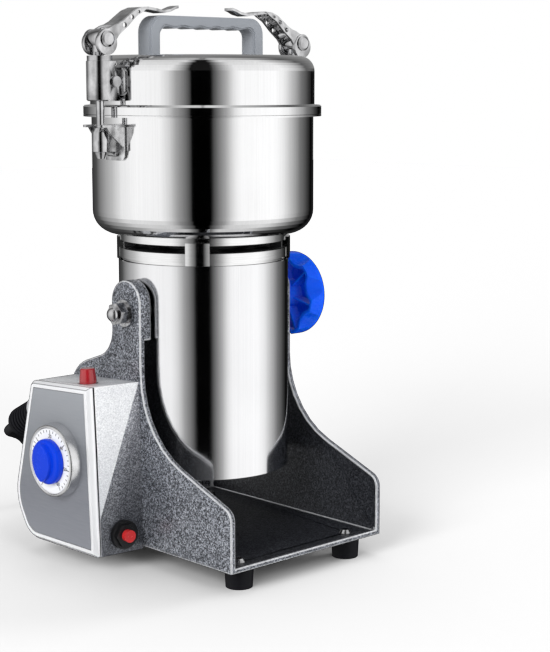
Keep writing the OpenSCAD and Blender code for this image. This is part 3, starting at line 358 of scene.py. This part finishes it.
# Painted highlight: a paler copy of the silver coat for rounded edges
silver_highlight = hammered("hammered_silver_edge", (0.84, 0.84, 0.85), (0.9, 0.9, 0.91), (0.95, 0.95, 0.95),
    (0.2, 0.3), 0.3, 0.8)
# Painted shade and reflection on the lower facet: a darker copy of the silver coat, lighter towards the top by a
# painted gradient
shaded_facet_paint = hammered("hammered_facet_painted_shade", (0.075, 0.077, 0.09), (0.20, 0.206, 0.228), (0.50, 0.51, 0.545),
    (0.28, 0.45), 0.5, 0.9, ("Z", 0.03, 0.105, (0.30, 0.31, 0.33), (1.25, 1.25, 1.25)))
cover_paint = enamel("cover_silver", (0.90, 0.905, 0.915), (0.16, 0.26), 0.3)
cover_edge = enamel("cover_edge", (0.42, 0.425, 0.44), (0.2, 0.3), 0.6)
dial_white = enamel("dial_white", (0.88, 0.88, 0.88), (0.25, 0.4))
dial_silver = steel("dial_silver", (0.80, 0.80, 0.81), (0.16, 0.26), (300, 900, 900), 60)
blue = moulded("blue_plastic", (0.001, 0.115, 0.98), (0.22, 0.32), 0.02, 0.000008, 700, 0.9, glow=0.6,
    gloss=0.15)
dial_blue = moulded("dial_blue", (0.001, 0.042, 0.62), (0.2, 0.3), 0.02, 0.000008, 700, 0.85, gloss=0.15)
red = moulded("red_plastic", (0.56, 0.028, 0.03), (0.2, 0.3), 0.4, 0.000008, 700)
red_lens = moulded("red_lens", (0.34, 0.012, 0.018), (0.08, 0.14), 0.8, 0.000008, 500, 0.7)
black = moulded("black_plastic", (0.008, 0.008, 0.009), (0.3, 0.42), gloss=0.3)
rubber = moulded("black_rubber", (0.006, 0.006, 0.008), (0.5, 0.7), grain=0.00003, gloss=0.15)
cord_skin = moulded("cord_black", (0.008, 0.008, 0.010), (0.4, 0.52), grain=0.00001, gloss=0.25)
grip_grey = moulded("handle_grey", (0.33, 0.35, 0.38), (0.36, 0.5), scale=1500, vary=0.92)
seal = moulded("seal_white", (0.80, 0.80, 0.78), (0.45, 0.6))
laminated = steel("core_steel", (0.36, 0.36, 0.37), (0.35, 0.5), (20, 20, 2600), 90, 0.00002)
winding = steel("winding", (0.55, 0.24, 0.08), (0.3, 0.45), (30, 30, 1500), 120, 0.00005)
copper = steel("copper", (0.62, 0.33, 0.16), (0.22, 0.35), (60, 60, 900), 120)
brass = steel("brass", (0.72, 0.55, 0.25), (0.2, 0.3), (900, 60, 60), 150)
carbon = moulded("carbon", (0.04, 0.04, 0.042), (0.5, 0.7))
PANEL_FOOT, PANEL_TALL = 0.018, 0.1     # where the panel's shades start, and over what height they go
NECK_INSIDE, NECK_RIM = 0.0528, 0.0532  # the neck is black within the first radius as painted shade, bright from the second


def panel_material():
    """Printed panel: satin grey that is darkest below its middle."""
    f = Finish("panel_grey", Metallic=0.35, Coat_Weight=0.3, Coat_Roughness=0.2)
    height = f.math("MULTIPLY", f.math("SUBTRACT", f.axis("Z"), PANEL_FOOT), 1 / PANEL_TALL)
    grain = f.noise(1.0, 3, 0.6, at=f.place(scale=(100, 80, 2200)))
    shade = f.ramp(height, (0.0, (0.225, 0.235, 0.265)), (0.28, (0.185, 0.194, 0.222)),
        (0.62, (0.215, 0.228, 0.25)), (1.0, (0.33, 0.345, 0.37)))
    f.colour(f.mix(f.ramp(grain, (0.3, 0.0), (0.7, 0.12)), shade, (0.5, 0.5, 0.51)))
    f.roughness(f.ramp(grain, (0.3, 0.34), (0.7, 0.46)))
    f.bump((grain, 0.000004))
    return f.material


def neck_material():
    """The vented neck: bright ring and posts outside, and painted shade behind the openings, where the inner
    faces are black.
    """
    f = Finish("neck_alloy_painted_shade")
    x, y = f.math("POWER", f.axis("X"), 2.0), f.math("POWER", f.axis("Y"), 2.0)
    across = f.math("SQRT", f.math("ADD", x, y))
    rim = f.ramp(f.math("MULTIPLY", across, 10.0), (10 * NECK_INSIDE, 0.0), (10 * NECK_RIM, 1.0))
    lines = f.noise(1.0, 3, 0.6, at=f.place(scale=(60, 60, 1800)))
    # Painted shade: black inside the first radius, bright alloy outside
    f.colour(f.mix(rim, (0.012, 0.012, 0.013), f.ramp(lines, (0.3, 0.80), (0.7, 0.88))))
    f.wire(rim, f.shader.inputs["Metallic"])
    f.roughness(f.mix(rim, 0.5, f.ramp(lines, (0.3, 0.08), (0.7, 0.14))))
    f.bump((lines, 0.000003))
    return f.material


panel = panel_material()
neck_finish = neck_material()

# ---------------------------------------------------------------- finishes of the CAD nodes that stay
STAYS = {
    "feet": rubber, "foot_screws": bolt, "box_screws": bolt, "dial_bezel": dial_silver, "dial_face": dial_white,
    "timer_case": black, "breaker_body": black, "breaker_collar": black, "switch_body": black,
    "strain_relief": rubber, "plug": black, "plug_pins": brass, "reset_button": red, "power_button": red_lens,
    "motor_casing": casing_steel, "bottom_cover": black, "stator": laminated, "brush_gear": carbon,
    "bearings": bolt, "neck_frame": neck_finish, "grinding_bowl": polished, "pivot_bosses": bolt,
    "pivot_bolt": bolt, "pivot_washers": bolt, "pivot_nut": bolt, "pivot_cap_nut": chrome, "lock_stud": bolt,
    "rotor_shaft": bolt, "armature": winding, "commutator": copper, "cooling_fan": black, "lower_blade": bolt,
    "upper_blade": bolt, "blade_spacers": bolt, "blade_nut": bolt, "lid_shell": polished, "lid_gasket": seal,
    "handle": grip_grey, "handle_screws": bolt, "latch_hinge_screws": chrome, "control_panel": panel,
    "lever_pin_left": chrome, "lever_pin_right": chrome,
}
for node, material in STAYS.items():
    nodes[node].data.materials.clear()
    nodes[node].data.materials.append(material)

# ---------------------------------------------------------------- nodes whose edges are rounded
FACING = 0.8                        # a face looks along an axis when its normal has at least this much of it
TRAY_LOW = 0.03                     # the tray's floor lies below this height
SEAM_GAP = 0.0012                   # depth of the shadow line between the control box and its cover
UPPER_TURN, LOWER_TURN = math.radians(9.5), math.radians(5.7)   # the two facets, turned from the front


def paint_cradle():
    """Outer faces thickly hammered, pale painted highlights on the rounded edges, and painted shade on the faces
    that the cradle encloses and on its undersides: a much darker copy of the same paint.
    """
    cradle = rounded_copy("cradle", (dark_paint, edge_highlight), 0.0009, 3)
    cradle.data.materials.append(shaded_inner_paint)
    for face in cradle.data.polygons:
        inward = face.normal.x * face.center.x < 0 and abs(face.normal.x) > FACING
        tray_floor = face.normal.z > FACING and face.center.z < TRAY_LOW
        # Inner faces, the tray floor and undersides take the painted-shade copy in slot 2
        if face.material_index == 0 and (inward or tray_floor or face.normal.z < -FACING):
            face.material_index = 2


def paint_housing():
    """Silver all over, with the seam behind the cover in black shadow paint."""
    # Its rounded edges take a paler copy of the silver, a painted highlight
    housing = rounded_copy("box_housing", (silver_paint, silver_highlight), 0.0007)
    housing.data.materials.append(black)
    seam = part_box("box_cover")[1].x + SEAM_GAP
    for face in housing.data.polygons:
        if face.center.x < seam:
            face.material_index = 2


def paint_facets():
    """The plate's upper facet, left of the fold, is silver as the housing is. The lower one is dark: a darker
    copy of the silver paint, as painted shade and reflection of the fold.
    """
    plate = rounded_copy("breaker_plate", (shaded_facet_paint, silver_paint), 0.00005, 1)
    upper, lower = (Vector((-math.sin(turn), -math.cos(turn), 0)) for turn in (UPPER_TURN, LOWER_TURN))
    for face in plate.data.polygons:
        face.material_index = 1 if face.normal.dot(upper) > face.normal.dot(lower) + 0.0005 else 0


paint_cradle()
paint_housing()
paint_facets()
rounded_copy("box_cover", (cover_paint, cover_edge), 0.0004, 2, 50)
rounded_copy("timer_knob", dial_blue, 0.0008, 3)
rounded_copy("lock_knob", blue, 0.0016, 3).visible_glossy = False
for node in ("latch_catches", "latch_lugs"):
    rounded_copy(node, plate_chrome, 0.0002)
for node in ("latch_sleeve_left", "latch_sleeve_right", "latch_rod_left", "latch_rod_right", "latch_lever_left",
        "latch_lever_right"):
    rounded_copy(node, chrome, 0.0002)

# ---------------------------------------------------------------- mains cord, wound as for storage
CORD_D = 0.007
# The route and the coil are in millimetres. The route goes from the strain relief to the coil's first point.
ROUTE = [(-85, 98.2, 80.3), (-85, 101.2, 78.8), (-84.1, 108, 75.6), (-81, 115, 72.6), (-76.2, 121.2, 70.2),
    (-70.2, 126.4, 67.9), (-63.4, 130.6, 65), (-56.4, 134.2, 60.8), (-49.8, 137.8, 54.9), (-43.4, 141.6, 47.5),
    (-36.8, 145.6, 39), (-30, 149.4, 30.4), (-22.8, 153, 22.4), (-14.5, 157, 15.2), (-5, 161.5, 10),
    (4.5, 165.5, 6.5), (13, 168.5, 4.5), (21.5, 170.5, 3.5), (30, 170.5, 3.5)]
COIL_AT, COIL_R, TURNS = (38, 130), 40.5, 2.5
STEPS = 24                              # points to a turn
COIL_PITCH, COIL_RISE = 8.6, 7.8        # between two turns, and between the two layers
ON_FLOOR = 3.5                          # height of the cord's middle where it lies on the floor
LEAD_OUT = (7, 24)                      # the straight end that leads to the plug


def coil_points():
    """In along the floor, up over half a turn, and out again one layer higher."""
    layer, half = int(STEPS * TURNS), STEPS // 2
    points = []
    for i in range(2 * layer + half + 1):
        s = i if i <= layer else layer if i <= layer + half else 2 * layer + half - i
        lift = 0 if i <= layer else 1 if i >= layer + half else (i - layer) / half
        r = COIL_R - COIL_PITCH * s / STEPS
        a = math.radians(90 - 360 * i / STEPS)
        points.append((COIL_AT[0] + r * math.cos(a), COIL_AT[1] + r * math.sin(a), ON_FLOOR + COIL_RISE * lift))
    x, y, z = points[-1]
    return points + [(x - out, y, z) for out in LEAD_OUT]


def make_cord():
    """The cord as one round line, in place of the CAD's cord and coil."""
    points = [Vector(p) * MM for p in ROUTE + coil_points()]
    line = bpy.data.curves.new("mains_cord", "CURVE")
    line.dimensions = "3D"
    spline = line.splines.new("POLY")
    spline.points.add(len(points) - 1)
    for point, place in zip(spline.points, points):
        point.co = (*place, 1)
    line.bevel_depth = CORD_D / 2
    line.bevel_resolution = 4
    line.use_fill_caps = True
    piece = bpy.data.objects.new("mains_cord", line)
    scene.collection.objects.link(piece)
    line.materials.append(cord_skin)
    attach(piece, "stand")
    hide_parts("cord", "cord_coil")


make_cord()

# ---------------------------------------------------------------- dial markings
PRINT_GAP = 0.00006                     # the print's middle lies this far in front of the white face
TICK_EDGE = 0.0203                      # outer end of the ticks, from the dial's middle
TICK_WIDE, TICK_THICK = 0.0004, 0.00016
TICK_LONG, TICK_SHORT = 0.0028, 0.0016
TICKS, TICKS_A_NUMBER = 31, 5           # all ticks, and every how many ticks a number stands
DIAL_START, TICK_TURN = -150, 10        # degrees from straight up, and from tick to tick
NUMBER_RING, NUMBER_TALL = 0.0162, 0.0034
MINUTES_A_NUMBER = 10
TO_LEFT_FACE = Matrix(((0, 0, -1, 0), (-1, 0, 0, 0), (0, 1, 0, 0), (0, 0, 0, 1)))


def dial_turn(tick):
    return math.radians(DIAL_START + TICK_TURN * tick)


def dial_tick(at, k):
    """One tick, made upright over the dial's middle and then turned round it."""
    tall = TICK_SHORT if k % TICKS_A_NUMBER else TICK_LONG
    bpy.ops.object.select_all(action="DESELECT")
    bpy.ops.mesh.primitive_cube_add(size=1, location=at)
    tick = bpy.context.object
    tick.scale = (TICK_THICK, TICK_WIDE, tall)
    tick.location.z += TICK_EDGE - tall / 2
    settle(tick)
    round_dial = Matrix.Rotation(dial_turn(k), 4, "X")
    tick.data.transform(Matrix.Translation(at) @ round_dial @ Matrix.Translation(-at))
    return tick


def dial_number(at, k):
    """The minutes at the k-th tick, as a thin upright mesh on the left face."""
    bpy.ops.object.select_all(action="DESELECT")
    bpy.ops.object.text_add()
    number = bpy.context.object
    number.data.body = str(k // TICKS_A_NUMBER * MINUTES_A_NUMBER)
    number.data.size = NUMBER_TALL
    number.data.align_x, number.data.align_y = "CENTER", "CENTER"
    number.data.extrude = TICK_THICK / 2
    number.data.resolution_u = 3
    pick(number)
    bpy.ops.object.convert(target="MESH")
    turn = dial_turn(k)
    middle = at + Vector((0, -NUMBER_RING * math.sin(turn), NUMBER_RING * math.cos(turn)))
    number.data.transform(Matrix.Translation(middle) @ TO_LEFT_FACE)
    return number


def dial_print():
    """Ticks and minutes round the dial, printed on the white face."""
    face_low, face_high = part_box("dial_face")
    at = (face_low + face_high) / 2
    at.x = face_low.x - PRINT_GAP
    pieces = [dial_tick(at, k) for k in range(TICKS)]
    pieces += [dial_number(at, k) for k in range(0, TICKS, TICKS_A_NUMBER)]
    pick(*pieces)
    bpy.ops.object.join()
    named(bpy.context.object, "dial_print", black, "stand")


dial_print()


# ---------------------------------------------------------------- floor
def white_floor():
    """A pale floor that keeps the object's shadow. Polished steel looks through it, at the studio."""
    paint = Finish("floor_white", Roughness=0.9)
    paint.colour(paint.ramp(paint.noise(3.0), (0.3, 0.90), (0.7, 0.92)))
    blend = paint.node("MixShader")
    paint.wire(paint.node("LightPath").outputs["Is Glossy Ray"], blend.inputs["Fac"])
    paint.wire(paint.shader.outputs["BSDF"], blend.inputs[1])
    paint.wire(paint.node("BsdfTransparent").outputs["BSDF"], blend.inputs[2])
    paint.wire(blend.outputs["Shader"], paint.tree.nodes["Material Output"].inputs["Surface"])
    bpy.ops.object.select_all(action="DESELECT")
    bpy.ops.mesh.primitive_plane_add(size=8, location=(0, 0, -0.0003))
    floor = bpy.context.object
    floor.name = "floor"
    floor.data.materials.append(paint.material)
    floor.is_shadow_catcher = True


white_floor()

# ---------------------------------------------------------------- studio
# Light panels round the object with dark cards between them, as polished steel shows them. Each row is
# (degrees round the object from the front of the photograph, grey level).
STUDIO = [(-180, 0.03), (-160, 0.04), (-142, 0.08), (-127, 0.28), (-105, 0.58), (-90, 0.94), (-70, 1.08),
    (-42, 1.04), (-33, 0.80), (-24, 0.40), (-13, 0.14), (-10, 0.06), (-8.5, 0.0), (11, 0.0), (12.5, 0.05),
    (18, 0.2), (26, 0.46), (34, 0.9), (41, 1.12), (80, 1.18), (92, 1.0), (104, 0.62), (122, 0.2), (140, 0.05),
    (152, 0.0), (180, 0.03)]
# The same above the horizon, where lids and levers look: softer, with a grey backdrop behind the object
UPPER = [(-180, 0.30), (-150, 0.30), (-128, 0.12), (-108, 0.5), (-90, 0.95), (-30, 0.95), (-16, 0.3),
    (-10, 0.01), (11, 0.01), (17, 0.2), (36, 0.95), (90, 1.05), (118, 0.5), (135, 0.12), (155, 0.2), (180, 0.30)]
# Level of both by the direction's height, from straight down (-1) to straight up (1)
HEIGHTS = [(-1.0, 0.55), (-0.45, 0.8), (-0.25, 1.0), (0.30, 1.0), (0.5, 0.95), (0.75, 0.85), (1.0, 0.75)]
HORIZON = [(0.01, 0.0), (0.07, 1.0)]    # share of UPPER by the direction's height
AMBIENT = (0.36, 0.365, 0.38)           # what surfaces that aren't shiny get from the studio
SHOWN = (1, 1, 1)                       # the white background of the picture


class Studio(Graph):
    """The world: white for the camera, panels and cards for shiny surfaces, an even level for the rest."""

    def __init__(self):
        self.world = bpy.data.worlds.new("studio")
        super().__init__(self.world)
        directions = self.node("TexCoord").outputs["Generated"]
        turned = self.node("Mapping")
        self.wire(directions, turned.inputs["Vector"])
        turned.inputs["Rotation"].default_value[2] = -math.atan2(-LOOKING.y, -LOOKING.x)
        radial = self.node("TexGradient", gradient_type="RADIAL")
        self.wire(turned.outputs["Vector"], radial.inputs["Vector"])
        split = self.node("SeparateXYZ")
        self.wire(directions, split.inputs["Vector"])
        lift = self.node("MapRange")
        lift.inputs["From Min"].default_value = -1.0
        self.wire(split.outputs["Z"], lift.inputs["Value"])
        cards, upper = (self.ramp(radial.outputs["Fac"], *((turn / 360 + 0.5, level) for turn, level in rows))
            for rows in (STUDIO, UPPER))
        above, tiers = (self.ramp(lift.outputs["Result"], *(((height + 1) / 2, level) for height, level in rows))
            for rows in (HORIZON, HEIGHTS))
        room = self.mix(1.0, self.mix(above, cards, upper), tiers, "MULTIPLY")
        path = self.node("LightPath").outputs
        lit = self.mix(path["Is Glossy Ray"], AMBIENT, room)
        self.wire(self.mix(path["Is Camera Ray"], lit, SHOWN), self.tree.nodes["Background"].inputs["Color"])


scene.world = Studio().world


# ---------------------------------------------------------------- lamps
def lamp(name, at, aim_height, size, watts):
    """A square lamp that looks at the motor's axis, and that polished steel doesn't mirror."""
    made = bpy.data.objects.new(name, bpy.data.lights.new(name, "AREA"))
    made.data.size = size
    made.data.energy = watts
    made.location = at
    made.rotation_mode = "QUATERNION"
    made.rotation_quaternion = (Vector((0, 0, aim_height)) - Vector(at)).to_track_quat("-Z", "Y")
    made.visible_glossy = False
    scene.collection.objects.link(made)


lamp("key_lamp", (-1.6, -0.5, 0.9), 0.12, 0.9, 24)
lamp("front_lamp", (-0.5, -1.7, 1.0), 0.15, 0.8, 9)
lamp("top_lamp", (0.2, 0.3, 1.9), 0.15, 1.0, 8)
lamp("side_lamp", (1.6, -0.5, 0.55), 0.22, 0.7, 14)
